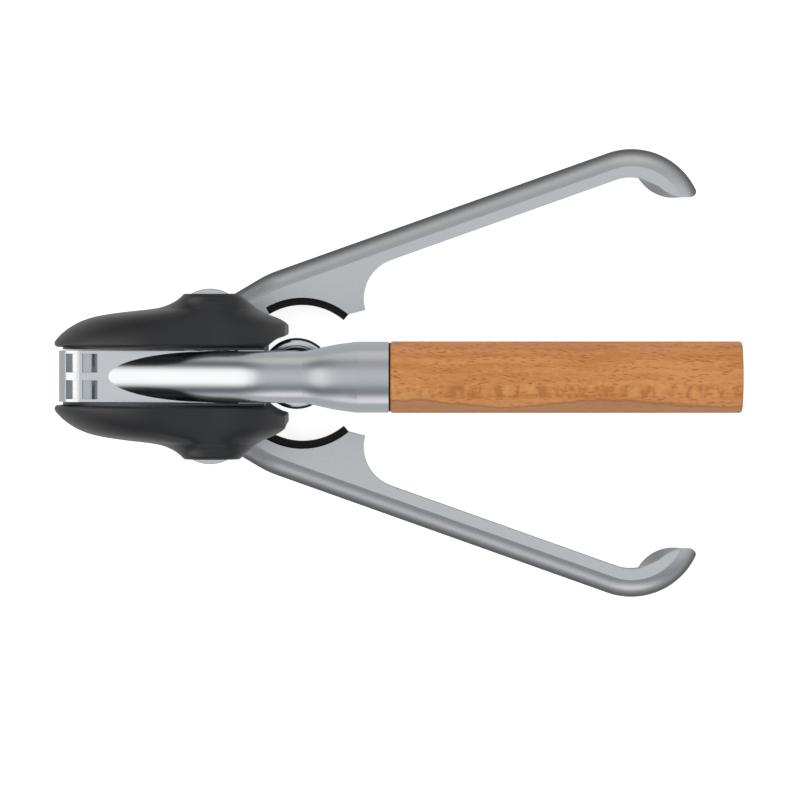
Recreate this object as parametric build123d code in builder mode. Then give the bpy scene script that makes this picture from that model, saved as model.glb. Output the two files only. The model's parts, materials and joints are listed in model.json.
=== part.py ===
from build123d import *
import math
import os

os.makedirs("parts", exist_ok=True)

# A lever corkscrew that stands on its base, with the bottle axis as Z.
# The origin lies on the bottle axis at the plane on which base and arms rest.
# The handle points to +X, and the two gripping arms open to +Y and -Y.
# The crank and its connecting rod are equally long, so that the carriage pin
# stays straight under the lever's axle while the lever turns.

# Clearances
side_play = 0.25
shaft_play = 0.05
open_play = 0.4
overrun = 60.0

# Neck seat and base
seat_r = 15.3
seat_wall = 1.0
seat_reach = 7.6
mouth_r = 12.75
base_h = 12.0
base_lift = 0.3
base_rear = 44.0
rail_wall = 1.15
base_corner_r = 2.5

# Lever, crank and carriage travel
axle_x = -26.0
axle_z = 82.0
crank_len = 40.0
crank_rest = 13.0
lever_swing = 56.0
hub_r = 8.0
heel_r = 8.6
lever_half = 8.0
axle_r = 4.0
axle_bush_wall = 1.2
pin_r = 3.0
pin_bush_wall = 1.0
rod_end_r = 5.5
rod_half = 4.0
rod_waist = 4.5

# Lever bar, ferrule and wooden handle
bar_z = 97.7
bar_half_h = 7.5
bar_front = -9.0
bar_slope = 26.4
bar_bend_r = 25.0
bar_foot_x = -56.0
heel_flat = 4.5
heel_crest = (-40.0, 84.0)
handle_tilt = 0.0
bar_lead = 12.0
flare_len = 17.0
flare_shares = ((0.43, 0.50), (0.72, 0.80))
ferrule_len = 9.7
ferrule_r = 11.0
handle_len = 109.0
handle_r = 11.1
handle_edge = 1.0
handle_gap = 0.4
bolt_r = 4.0
bolt_len = 60.0
bolt_sunk = 12.0

# Ribs and pockets cast into the heel
rib_half = 1.2
pocket_depth = 1.8
pocket_wall = 0.9
pocket_angles = ((45.0, 72.0), (84.0, 118.0))

# Side plates, shells and what joins them
plate_t = 0.8
plate_inset = 3.0
nose_reach = 75.6
front_reach = 2.6
front_top = 74.0
shell_top = 95.0
shell_front = -0.5
shell_sunk = 2.0
boss_half = 25.8
boss_r = 9.2
boss_edge = 0.5
boss_x = -25.4
slot_edge_r = 1.2
front_edge_r = 0.8
cap_r = 5.9
cap_h = 1.6
cap_skirt = 1.5
axle_end_gap = 0.3
tie_x = -40.6
tie_z = 20.0
tie_r = 2.5

# Head outline seen from the side, as shares of the nose reach and the shell top
head_top_shares = ((0.085, 0.905), (0.20, 0.973), (0.36, 0.964), (0.53, 0.995), (0.70, 0.972),
                   (0.85, 0.905), (0.955, 0.815), (1.0, 0.735))
head_throat_shares = ((0.955, 0.64), (0.80, 0.53), (0.67, 0.42), (0.595, 0.28))

# Shell sections from the slot out to the boss, as shares: the way out, then how far
# the nose, the front and the foot of the outline have closed in on the boss there
shell_section_shares = ((0.0, 0.0, 0.0, 0.0), (0.14, 0.025, 0.02, 0.0), (0.27, 0.076, 0.06, 0.0),
                        (0.415, 0.16, 0.12, 0.0), (0.545, 0.285, 0.30, 0.0), (0.63, 0.46, 0.50, 0.02),
                        (0.68, 0.63, 0.60, 0.26), (0.72, 0.77, 0.67, 0.60), (0.78, 0.87, 0.75, 0.82),
                        (0.87, 0.945, 0.86, 0.93), (0.97, 1.0, 1.0, 1.0), (1.0, 1.0, 1.0, 1.0))

# Guide rods, nut and carriage
rod_x = -13.3
rod_y = 4.8
guide_r = 1.8
guide_bush_wall = 0.7
bridge_t = 5.0
bridge_rear = -17.0
carrier_t = 6.0
carrier_rear = -16.4
tongue_half = 6.0
ring_r = 11.4
ring_t = 6.5
ring_edge = 1.2
insert_r = 7.9
holder_t = 8.0
holder_lift = 12.0
holder_rear = -17.4
web_lift = 5.6
web_front = -16.9
web_slope = 0.8
web_gap = 0.9
web_angles = (-53.0, -14.0)

# Worm
worm_coil_r = 3.1
worm_wire_r = 1.5
worm_lead = 9.6
worm_shank_r = 4.8
worm_shank_len = 6.0
worm_tip_z = 15.5
worm_tip_len = 3.0
worm_tip_r = 0.3
worm_head_r = 6.4
worm_head_h = 3.6
bearing_r = 6.0

# Gripping arms
arm_pin_y = 15.9
arm_pin_r = 2.5
arm_boss_r = 5.4
arm_h = 12.0
arm_angle = 19.6
arm_bend_x = -9.5
arm_root_angles = (122.0, -50.0)
arm_width = 9.1
arm_shoulder_r = 30.0
crease_in = 5.65
crease_fall = 5.5
crease_bulge = 0.85
crease_start_share = 0.4
arm_soft = 1.2
arm_pin_top = 26.0
arm_pin_head_r = 4.0
arm_pin_head_h = 1.3
arm_pin_rise = 0.2
pad_centre = (1.75, 1.25)
pad_r = 20.7
pad_t = 2.4
pad_rise = 1.0
pad_angles = (50.0, 120.5)
hook_centre = (107.9, 49.3)
hook_outer_r = 23.0
hook_tip_angle = 25.5
hook_past_angle = 15.0
hook_draft = 2.2
hook_draft_start = 80.0
hook_inner_angle = 47.7
hook_lip_share = (0.822, 0.326)
hook_heel_share = (0.683, 0.322)
hook_hollow_share = (0.539, 0.365)
tail_x = 30.3
tail_r = 13.2
tail_end_angle = 196.0

# Worked-out places
crank_x = axle_x - crank_len * math.cos(math.radians(crank_rest))
crank_z = axle_z - crank_len * math.sin(math.radians(crank_rest))
slide_z = axle_z - 2 * crank_len * math.sin(math.radians(crank_rest))
plate_in = lever_half + side_play
plate_out = plate_in + plate_t
cheek_in = rod_half + side_play
slot_r = rod_end_r + open_play
hub_bore = axle_r + shaft_play + axle_bush_wall
rod_bore = pin_r + shaft_play + pin_bush_wall
guide_bore = guide_r + shaft_play + guide_bush_wall
holder_bottom = slide_z + holder_lift
holder_top = holder_bottom + holder_t
bearing_t = holder_t - worm_head_h - 2 * side_play
bridge_bottom = holder_top + open_play
bridge_top = bridge_bottom + bridge_t
shell_bottom = base_h + base_lift
rail_out = plate_out + rail_wall
well_front = axle_x + slot_r + side_play
well_rear = axle_x - 2 * rod_end_r + open_play
flare_start = (bar_front + bar_lead * math.cos(math.radians(handle_tilt)),
               bar_z + bar_lead * math.sin(math.radians(handle_tilt)))


def polar(centre, radius, angle):
    """The point at a radius and an angle in degrees from a centre."""
    return (centre[0] + radius * math.cos(math.radians(angle)),
            centre[1] + radius * math.sin(math.radians(angle)))


def side_plane(y):
    """The XZ plane at a place along Y, where an extrusion runs towards -Y."""
    return Plane.XZ.offset(-y)


def handle_plane(run):
    """The section plane of the tilted handle axis at a run from the flare's start."""
    lean = math.radians(handle_tilt)
    return Plane(origin=(flare_start[0] + run * math.cos(lean), 0, flare_start[1] + run * math.sin(lean)),
                 x_dir=(0, 1, 0), z_dir=(math.cos(lean), 0, math.sin(lean)))


def cross_pin(x, z, half, radius):
    """A round pin or bore that lies across the slot, centred on it."""
    with BuildPart(side_plane(half)) as made:
        with Locations((x, z)):
            Cylinder(radius, 2 * half, align=(Align.CENTER, Align.CENTER, Align.MIN))
    return made.part


def cross_bush(x, z, half, bore, radius):
    """A plain bush round a cross pin."""
    with BuildPart(side_plane(half)) as made:
        with BuildSketch(side_plane(half)):
            with Locations((x, z)):
                Circle(radius)
                Circle(bore, mode=Mode.SUBTRACT)
        extrude(amount=2 * half)
    return made.part


def head_points(inset):
    """The points of the top line and of the throat of the bird's head, drawn in by an inset."""
    reach, height = nose_reach - inset, shell_top - inset
    return ([(-x * reach, z * height) for x, z in head_top_shares],
            [(-x * reach, z * height) for x, z in head_throat_shares])


def head_outline(inset):
    """The bird's-head outline of the side plates as a sketch on XZ."""
    top, throat = head_points(inset)
    front_foot = (-front_reach, shell_bottom)
    rear_foot = (-base_rear, shell_bottom)
    with BuildSketch(Plane.XZ) as made:
        with BuildLine():
            Line(front_foot, (-front_reach, front_top))
            Spline((-front_reach, front_top), *top)
            Spline(top[-1], *throat, rear_foot)
            Line(rear_foot, front_foot)
        make_face()
    return made.sketch


def closed_in(point, share_x, share_z, radius):
    """The outline's point drawn towards the boss's round end by a share in X and one in Z."""
    run = math.dist(point, (boss_x, axle_z))
    goal = (boss_x + (point[0] - boss_x) * radius / run, axle_z + (point[1] - axle_z) * radius / run)
    return (point[0] + share_x * (goal[0] - point[0]), point[1] + share_z * (goal[1] - point[1]))


# Base casting: the half-round neck seat, the well for the carriage pin and two rails
with BuildPart() as base_block:
    with BuildSketch():
        with Locations((-(base_rear + seat_reach) / 2, 0)):
            Rectangle(base_rear - seat_reach, 2 * rail_out)
        with BuildSketch(mode=Mode.PRIVATE) as seat_ring:
            Circle(seat_r + seat_wall)
            with Locations((-seat_reach, 0)):
                Rectangle(overrun, overrun, align=(Align.MIN, Align.CENTER), mode=Mode.SUBTRACT)
        add(seat_ring.sketch)
        Circle(seat_r, mode=Mode.SUBTRACT)
        with Locations(((well_front + well_rear) / 2, 0)):
            Rectangle(well_front - well_rear, 2 * plate_in, mode=Mode.SUBTRACT)
    extrude(amount=base_h)
    fillet(base_block.edges().filter_by(Axis.Z).group_by(Axis.X)[0], base_corner_r)
base_block.part.label = "base_block"
export_step(base_block.part, "parts/base_block.step")

# Where the round mouth meets the slot
slot_inner = (-math.sqrt(mouth_r ** 2 - plate_out ** 2), plate_out)

# Steel side plates between the slot and the shells, standing on the base
with BuildPart() as side_plate_right:
    with BuildSketch(side_plane(plate_out)):
        add(head_outline(plate_inset))
        with Locations((-base_rear, base_h)):
            Rectangle(base_rear, base_lift, align=(Align.MIN, Align.MIN))
        with Locations((slot_inner[0], 0)):
            Rectangle(overrun, 2 * overrun, align=(Align.MIN, Align.MIN), mode=Mode.SUBTRACT)
        with Locations((axle_x, axle_z)):
            Circle(axle_r, mode=Mode.SUBTRACT)
        with Locations((tie_x, tie_z)):
            Circle(tie_r, mode=Mode.SUBTRACT)
    extrude(amount=plate_t)
side_plate_right.part.label = "side_plate_right"
export_step(side_plate_right.part, "parts/side_plate_right.step")

with BuildPart() as side_plate_left:
    mirror(side_plate_right.part, about=Plane.XZ)
side_plate_left.part.label = "side_plate_left"
export_step(side_plate_left.part, "parts/side_plate_left.step")

# Black shells: sections of the bird's head that close in on the axle's boss, in one loft
head_top, head_throat = head_points(0)
foot_z = shell_bottom - shell_sunk
with BuildPart() as shell_right:
    for out_share, nose, front, foot in shell_section_shares:
        end_r = boss_r - (boss_edge if out_share == 1 else 0)
        crest = []
        for point in head_top:
            share = nose + (front - nose) * max(0, 1 - point[0] / axle_x / 2)
            crest.append(closed_in(point, share, share, end_r))
        gullet = [closed_in(point, nose, nose + (foot - nose) * fall, end_r)
                  for point, fall in zip(head_throat, (0, 0, 1 / 3, 2 / 3))]
        front_foot = closed_in((shell_front, foot_z), front, foot, end_r)
        front_mid = closed_in((shell_front, (foot_z + front_top) / 2), front, (foot + front) / 2, end_r)
        front_high = closed_in((shell_front, front_top), front, front, end_r)
        rear_foot = closed_in((-base_rear, foot_z), nose, foot, end_r)
        foot_mid = closed_in(((shell_front - base_rear) / 2, foot_z), (nose + front) / 2, foot, end_r)
        with BuildSketch(side_plane(plate_out + out_share * (boss_half - plate_out))):
            with BuildLine():
                Spline(front_foot, front_mid, front_high)
                Spline(front_high, *crest)
                Spline(crest[-1], *gullet, rear_foot)
                Spline(rear_foot, foot_mid, front_foot)
            make_face()
    loft()
    with BuildSketch():
        Circle(mouth_r)
        with Locations((-front_reach, 0)):
            Rectangle(overrun, 2 * overrun, align=(Align.MIN, Align.CENTER))
    extrude(amount=2 * shell_top, mode=Mode.SUBTRACT)
    with BuildSketch():
        Rectangle(4 * nose_reach, 4 * nose_reach)
    extrude(amount=shell_bottom, mode=Mode.SUBTRACT)
    fillet(shell_right.edges().filter_by(
        lambda e: abs((e @ 0.5).Y - plate_out) < side_play and (e @ 0.5).Z > base_rear
        and (e @ 0.5).X < slot_inner[0] - side_play and e.geom_type != GeomType.LINE), slot_edge_r)
    fillet(shell_right.edges().filter_by(
        lambda e: abs((e @ 0).X + front_reach) < side_play and abs((e @ 1).X + front_reach) < side_play
        and (e @ 0.5).Z > base_rear / 2), front_edge_r)
    add(cross_pin(axle_x, axle_z, boss_half + cap_h, axle_r), mode=Mode.SUBTRACT)
    with Locations(Location((axle_x, boss_half, axle_z), (90, 0, 0))):
        Cylinder(cap_r, cap_skirt, align=(Align.CENTER, Align.CENTER, Align.MIN), mode=Mode.SUBTRACT)
    with Locations((axle_x, arm_pin_y, shell_bottom)):
        Cylinder(arm_pin_r, arm_pin_top - shell_bottom, align=(Align.CENTER, Align.CENTER, Align.MIN),
                 mode=Mode.SUBTRACT)
shell_right.part.label = "shell_right"
export_step(shell_right.part, "parts/shell_right.step")

with BuildPart() as shell_left:
    mirror(shell_right.part, about=Plane.XZ)
shell_left.part.label = "shell_left"
export_step(shell_left.part, "parts/shell_left.step")

# Lever axle across both shells, with polished dome caps on its ends
with BuildPart() as lever_axle:
    add(cross_pin(axle_x, axle_z, boss_half - cap_skirt - axle_end_gap, axle_r))
lever_axle.part.label = "lever_axle"
export_step(lever_axle.part, "parts/lever_axle.step")

cap_root = boss_half - cap_skirt
dome_r = (cap_r ** 2 + cap_h ** 2) / (2 * cap_h)
dome_mid = polar((0, boss_half + cap_h - dome_r), dome_r, 90 - math.degrees(math.asin(cap_r / dome_r)) / 2)
with BuildPart() as axle_cap_right:
    with BuildSketch(Plane.XY.offset(axle_z)):
        with BuildLine():
            Polyline((axle_x, boss_half + cap_h), (axle_x, cap_root), (axle_x + cap_r, cap_root),
                     (axle_x + cap_r, boss_half))
            ThreePointArc((axle_x + cap_r, boss_half), (axle_x + dome_mid[0], dome_mid[1]),
                          (axle_x, boss_half + cap_h))
        make_face()
    revolve(axis=Axis((axle_x, 0, axle_z), (0, 1, 0)))
axle_cap_right.part.label = "axle_cap_right"
export_step(axle_cap_right.part, "parts/axle_cap_right.step")

with BuildPart() as axle_cap_left:
    mirror(axle_cap_right.part, about=Plane.XZ)
axle_cap_left.part.label = "axle_cap_left"
export_step(axle_cap_left.part, "parts/axle_cap_left.step")

# Tie bar that holds the plates and shells together behind the connecting rod
with BuildPart() as tie_bar:
    add(cross_pin(tie_x, tie_z, plate_out, tie_r))
tie_bar.part.label = "tie_bar"
export_step(tie_bar.part, "parts/tie_bar.step")

# Bridge across the plates at the top of the guide rods
with BuildPart() as rod_bridge:
    with BuildSketch(Plane.XY.offset(bridge_bottom)):
        with Locations((bridge_rear, 0)):
            Rectangle(slot_inner[0] - bridge_rear, 2 * plate_in, align=(Align.MIN, Align.CENTER))
        with Locations((rod_x, rod_y), (rod_x, -rod_y)):
            Circle(guide_r, mode=Mode.SUBTRACT)
    extrude(amount=bridge_t)
rod_bridge.part.label = "rod_bridge"
export_step(rod_bridge.part, "parts/rod_bridge.step")

# Guide rods for the worm carriage
with BuildPart(Plane.XY.offset(shell_bottom)) as guide_rods:
    with Locations((rod_x, rod_y), (rod_x, -rod_y)):
        Cylinder(guide_r, bridge_top - shell_bottom, align=(Align.CENTER, Align.CENTER, Align.MIN))
guide_rods.part.label = "guide_rods"
export_step(guide_rods.part, "parts/guide_rods.step")

# Nut carrier: the foot of the guide rods with a tongue that holds the nut ring
with BuildPart() as nut_carrier:
    with BuildSketch(Plane.XY.offset(shell_bottom)):
        with Locations((carrier_rear, 0)):
            Rectangle(slot_inner[0] - carrier_rear, 2 * plate_in, align=(Align.MIN, Align.CENTER))
            Rectangle(-carrier_rear, 2 * tongue_half, align=(Align.MIN, Align.CENTER))
        Circle(insert_r, mode=Mode.SUBTRACT)
        with BuildSketch(mode=Mode.PRIVATE) as ring_clear:
            Circle(ring_r)
            Rectangle(2 * ring_r, 2 * tongue_half, mode=Mode.SUBTRACT)
        add(ring_clear.sketch, mode=Mode.SUBTRACT)
        with Locations((rod_x, rod_y), (rod_x, -rod_y)):
            Circle(guide_r, mode=Mode.SUBTRACT)
    extrude(amount=carrier_t)
nut_carrier.part.label = "nut_carrier"
export_step(nut_carrier.part, "parts/nut_carrier.step")

# Polished ring round the worm's nut, notched for the carrier's tongue
with BuildPart() as nut_ring:
    with BuildSketch(Plane.XY.offset(shell_bottom)):
        Circle(ring_r)
        Circle(insert_r, mode=Mode.SUBTRACT)
    extrude(amount=ring_t)
    fillet(nut_ring.edges().group_by(Axis.Z)[-1].sort_by(SortBy.LENGTH)[-1], ring_edge)
    with BuildSketch(Plane.XY.offset(shell_bottom)):
        Rectangle(overrun, 2 * tongue_half, align=(Align.MAX, Align.CENTER))
    extrude(amount=carrier_t, mode=Mode.SUBTRACT)
nut_ring.part.label = "nut_ring"
export_step(nut_ring.part, "parts/nut_ring.step")

# Plastic nut that guides the worm
with BuildPart() as nut_insert:
    with BuildSketch(Plane.XY.offset(shell_bottom)):
        Circle(insert_r)
        Circle(worm_coil_r + worm_wire_r + open_play, mode=Mode.SUBTRACT)
    extrude(amount=ring_t)
nut_insert.part.label = "nut_insert"
export_step(nut_insert.part, "parts/nut_insert.step")

# Lever casting: ribbed heel, crank, hub and bar, flared to the ferrule
with BuildPart() as lever_casting:
    with BuildSketch(side_plane(lever_half)):
        with Locations((axle_x, axle_z)):
            Circle(hub_r)
        with Locations((crank_x, crank_z)):
            Circle(heel_r)
        make_hull()
        with BuildLine():
            Polyline((crank_x, crank_z), (crank_x, crank_z + heel_r), (crank_x + heel_flat, crank_z + heel_r),
                     heel_crest, (axle_x, axle_z), close=True)
        make_face()
    extrude(amount=2 * lever_half)
    with BuildLine(Plane.XZ) as bar_path:
        FilletPolyline((bar_foot_x, bar_z - (bar_front - bar_foot_x) * math.tan(math.radians(bar_slope))),
                       (bar_front, bar_z), flare_start, radius=bar_bend_r)
    with BuildSketch(Plane(origin=bar_path.line @ 0, x_dir=(0, 1, 0), z_dir=bar_path.line % 0)):
        Ellipse(lever_half, bar_half_h)
    sweep(path=bar_path.line)
    for run in (-bar_lead / 4, 0):
        with BuildSketch(handle_plane(run)):
            Ellipse(lever_half, bar_half_h)
    for run_share, grow_share in flare_shares:
        with BuildSketch(handle_plane(run_share * flare_len)):
            Ellipse(lever_half + grow_share * (ferrule_r - lever_half),
                    bar_half_h + grow_share * (ferrule_r - bar_half_h))
    with BuildSketch(handle_plane(flare_len)):
        Circle(ferrule_r)
    loft()
    with BuildSketch(handle_plane(flare_len)):
        Circle(ferrule_r)
    extrude(amount=ferrule_len)
    with BuildSketch(handle_plane(flare_len + ferrule_len)):
        Circle(bolt_r)
    extrude(amount=-bolt_sunk, mode=Mode.SUBTRACT)
    # Relief under the bar for the bridge of the guide rods
    with BuildSketch(side_plane(lever_half)):
        with Locations((axle_x + hub_r + side_play, bridge_top + open_play)):
            Rectangle(hub_r * 2, hub_r, align=(Align.MIN, Align.MAX))
    extrude(amount=2 * lever_half, mode=Mode.SUBTRACT)
    # Slot in which the connecting rod swings
    with BuildSketch(side_plane(cheek_in)):
        with Locations((crank_x, crank_z)):
            Circle(slot_r)
        heel = (crank_x, crank_z)
        rest_edge = polar(heel, slot_r, 90 - crank_rest)
        swung = crank_rest + 2 * lever_swing
        swung_edge = polar(heel, slot_r, -90 - swung)
        with BuildLine():
            Polyline(rest_edge, polar(rest_edge, overrun, -crank_rest), polar(heel, overrun, -90 + crank_rest),
                     polar(swung_edge, overrun, -swung), swung_edge, close=True)
        make_face()
    extrude(amount=2 * cheek_in, mode=Mode.SUBTRACT)
    add(cross_pin(axle_x, axle_z, lever_half, hub_bore), mode=Mode.SUBTRACT)
    add(cross_pin(crank_x, crank_z, lever_half, pin_r), mode=Mode.SUBTRACT)
    # Pockets between the ribs, cut into the round of the heel
    for first, last in pocket_angles:
        for side in (lever_half - pocket_wall, -rib_half):
            with BuildSketch(side_plane(side)):
                with BuildLine():
                    inner = heel_r - pocket_depth
                    outer = heel_r + pocket_depth
                    Line(polar(heel, inner, 180 - first), polar(heel, outer, 180 - first))
                    ThreePointArc(polar(heel, outer, 180 - first), polar(heel, outer, 180 - (first + last) / 2),
                                  polar(heel, outer, 180 - last))
                    Line(polar(heel, outer, 180 - last), polar(heel, inner, 180 - last))
                    ThreePointArc(polar(heel, inner, 180 - last), polar(heel, inner, 180 - (first + last) / 2),
                                  polar(heel, inner, 180 - first))
                make_face()
            extrude(amount=lever_half - pocket_wall - rib_half, mode=Mode.SUBTRACT)
lever_casting.part.label = "lever_casting"
export_step(lever_casting.part, "parts/lever_casting.step")

# Bronze bush in the lever's hub
with BuildPart() as hub_bush:
    add(cross_bush(axle_x, axle_z, lever_half, axle_r + shaft_play, hub_bore))
hub_bush.part.label = "hub_bush"
export_step(hub_bush.part, "parts/hub_bush.step")

# Crank pin through the heel
with BuildPart() as crank_pin:
    add(cross_pin(crank_x, crank_z, lever_half, pin_r))
crank_pin.part.label = "crank_pin"
export_step(crank_pin.part, "parts/crank_pin.step")

# Bolt that holds the wooden handle on the ferrule
wood_run = flare_len + ferrule_len + handle_gap
with BuildPart() as handle_bolt:
    with BuildSketch(handle_plane(flare_len + ferrule_len - bolt_sunk)):
        Circle(bolt_r)
    extrude(amount=bolt_sunk + handle_gap + bolt_len)
handle_bolt.part.label = "handle_bolt"
export_step(handle_bolt.part, "parts/handle_bolt.step")

# Turned wooden handle with a blind bore
with BuildPart() as wood_handle:
    with BuildSketch(handle_plane(wood_run)):
        Circle(handle_r)
    extrude(amount=handle_len)
    fillet(wood_handle.edges(), handle_edge)
    with BuildSketch(handle_plane(wood_run)):
        Circle(bolt_r)
    extrude(amount=bolt_len, mode=Mode.SUBTRACT)
wood_handle.part.label = "wood_handle"
export_step(wood_handle.part, "parts/wood_handle.step")

# Connecting rod from the crank pin to the carriage pin, with a bush at each end
with BuildPart() as connecting_rod:
    with BuildSketch(side_plane(rod_half)):
        with Locations(heel, (axle_x, slide_z)):
            Circle(rod_end_r)
        with Locations(Location((heel[0], heel[1]), -crank_rest)):
            Rectangle(crank_len, 2 * rod_waist, align=(Align.MIN, Align.CENTER))
        with Locations(heel, (axle_x, slide_z)):
            Circle(rod_bore, mode=Mode.SUBTRACT)
    extrude(amount=2 * rod_half)
connecting_rod.part.label = "connecting_rod"
export_step(connecting_rod.part, "parts/connecting_rod.step")

with BuildPart() as rod_bushes:
    add(cross_bush(heel[0], heel[1], rod_half, pin_r + shaft_play, rod_bore))
    add(cross_bush(axle_x, slide_z, rod_half, pin_r + shaft_play, rod_bore))
rod_bushes.part.label = "rod_bushes"
export_step(rod_bushes.part, "parts/rod_bushes.step")

# Worm carriage: two lugs on the carriage pin, a web round the hub and the worm's holder
with BuildPart() as carriage:
    with BuildSketch(side_plane(lever_half)):
        with Locations((axle_x, slide_z)):
            Circle(rod_end_r)
        web_low = (axle_x + rod_end_r, slide_z + web_lift)
        with BuildLine():
            Polyline((axle_x, slide_z), (axle_x - rod_end_r / 4, slide_z + rod_end_r),
                     *[polar((axle_x, axle_z), hub_r + web_gap, angle) for angle in web_angles],
                     (holder_rear, holder_top), (web_front, holder_top), (web_front, slide_z + web_lift + web_slope),
                     web_low, (axle_x + rod_end_r, slide_z), close=True)
        make_face()
    extrude(amount=2 * lever_half)
    with BuildSketch(Plane.XY.offset(holder_bottom)):
        with Locations((holder_rear, 0)):
            Rectangle(-holder_rear, 2 * lever_half, align=(Align.MIN, Align.CENTER))
        Circle(lever_half)
    extrude(amount=holder_t)
    with BuildSketch(Plane.XY.offset(holder_bottom)):
        Circle(bearing_r)
        with Locations((rod_x, rod_y), (rod_x, -rod_y)):
            Circle(guide_bore)
    extrude(amount=holder_t, mode=Mode.SUBTRACT)
    with BuildSketch(Plane.XY.offset(holder_bottom + bearing_t)):
        Circle(worm_head_r + side_play)
    extrude(amount=holder_t, mode=Mode.SUBTRACT)
    with BuildSketch(side_plane(cheek_in)):
        with Locations((axle_x + slot_r, 0)):
            Rectangle(overrun, 4 * overrun, align=(Align.MAX, Align.CENTER))
    extrude(amount=2 * cheek_in, mode=Mode.SUBTRACT)
    add(cross_pin(axle_x, slide_z, lever_half, pin_r), mode=Mode.SUBTRACT)
carriage.part.label = "carriage"
export_step(carriage.part, "parts/carriage.step")

with BuildPart() as carriage_pin:
    add(cross_pin(axle_x, slide_z, lever_half, pin_r))
carriage_pin.part.label = "carriage_pin"
export_step(carriage_pin.part, "parts/carriage_pin.step")

with BuildPart() as guide_bushes:
    with BuildSketch(Plane.XY.offset(holder_bottom)):
        with Locations((rod_x, rod_y), (rod_x, -rod_y)):
            Circle(guide_bore)
            Circle(guide_r + shaft_play, mode=Mode.SUBTRACT)
    extrude(amount=holder_t)
guide_bushes.part.label = "guide_bushes"
export_step(guide_bushes.part, "parts/guide_bushes.step")

with BuildPart() as worm_bearing:
    with BuildSketch(Plane.XY.offset(holder_bottom)):
        Circle(bearing_r)
        Circle(worm_shank_r + shaft_play, mode=Mode.SUBTRACT)
    extrude(amount=bearing_t)
worm_bearing.part.label = "worm_bearing"
export_step(worm_bearing.part, "parts/worm_bearing.step")

# Worm: head, shank and an open right-handed helix with a drawn-out point
helix_top = holder_bottom - worm_shank_len
with BuildPart() as worm:
    with BuildLine(Plane.XY.offset(worm_tip_z)):
        coil = Helix(worm_lead, helix_top + worm_wire_r - worm_tip_z, worm_coil_r)
    with BuildSketch(Plane(origin=coil @ 0, z_dir=coil % 0)):
        Circle(worm_wire_r)
    sweep(path=coil, is_frenet=True)
    with BuildSketch(Plane(origin=coil @ 0, z_dir=coil % 0)):
        Circle(worm_wire_r)
    with BuildSketch(Plane(origin=coil @ 0 - (coil % 0) * worm_tip_len, z_dir=coil % 0)):
        Circle(worm_tip_r)
    loft()
    with Locations((0, 0, helix_top)):
        Cylinder(worm_shank_r, worm_shank_len + bearing_t + side_play,
                 align=(Align.CENTER, Align.CENTER, Align.MIN))
    with Locations((0, 0, holder_bottom + bearing_t + side_play)):
        Cylinder(worm_head_r, worm_head_h, align=(Align.CENTER, Align.CENTER, Align.MIN))
worm.part.label = "worm"
export_step(worm.part, "parts/worm.step")

# Gripping arm: boss on its pin, jaw round the neck, long bar and hooked end
lean = math.radians(arm_angle)
pin_at = (axle_x, arm_pin_y)
hook_inner_r = hook_outer_r - arm_width
seat_in = pad_r + pad_t
outer_tangent = polar(hook_centre, hook_outer_r, 90 + arm_angle)
inner_tangent = polar(hook_centre, hook_inner_r, 90 + arm_angle)
bend_at = (arm_bend_x, outer_tangent[1] - (outer_tangent[0] - arm_bend_x) * math.tan(lean))
tail_top = (tail_x, inner_tangent[1] - (inner_tangent[0] - tail_x) * math.tan(lean))
tail_centre = polar(tail_top, tail_r, arm_angle - 90)
tail_end = polar(tail_centre, tail_r, tail_end_angle)
tail_mid = polar(tail_centre, tail_r, (tail_end_angle + 90 + arm_angle) / 2)
hook_tip = polar(hook_centre, hook_outer_r, hook_tip_angle)
hook_mid = polar(hook_centre, hook_outer_r, (hook_tip_angle + 90 + arm_angle) / 2)
hollow_start = polar(hook_centre, hook_inner_r, hook_inner_angle)
hollow_mid = polar(hook_centre, hook_inner_r, (hook_inner_angle + 90 + arm_angle) / 2)
lip_at, heel_at, hollow_at = [(hook_centre[0] + x * hook_outer_r, hook_centre[1] + y * hook_outer_r)
                              for x, y in (hook_lip_share, hook_heel_share, hook_hollow_share)]
draft_start = polar(hook_centre, hook_inner_r, hook_draft_start)
draft_inside = polar(hook_centre, hook_inner_r + arm_width - crease_in, (hook_draft_start + hook_inner_angle) / 2)
root_at = polar(pin_at, arm_boss_r, arm_root_angles[0])
crease_start = (root_at[0] + crease_start_share * (bend_at[0] - root_at[0]),
                root_at[1] + crease_start_share * (bend_at[1] - root_at[1]))
past_mid = polar(hook_centre, hook_outer_r, (hook_past_angle + 90 + arm_angle) / 2)
band_len = math.dist((crease_in, 0), (0, crease_fall))
band_mid = (-crease_in / 2 + crease_bulge * crease_fall / band_len,
            arm_h - crease_fall / 2 + crease_bulge * crease_in / band_len)
lip_mid = ((lip_at[0] + hook_tip[0]) / 2 + arm_soft / 2, (lip_at[1] + hook_tip[1]) / 2 - arm_soft / 2)
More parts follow.
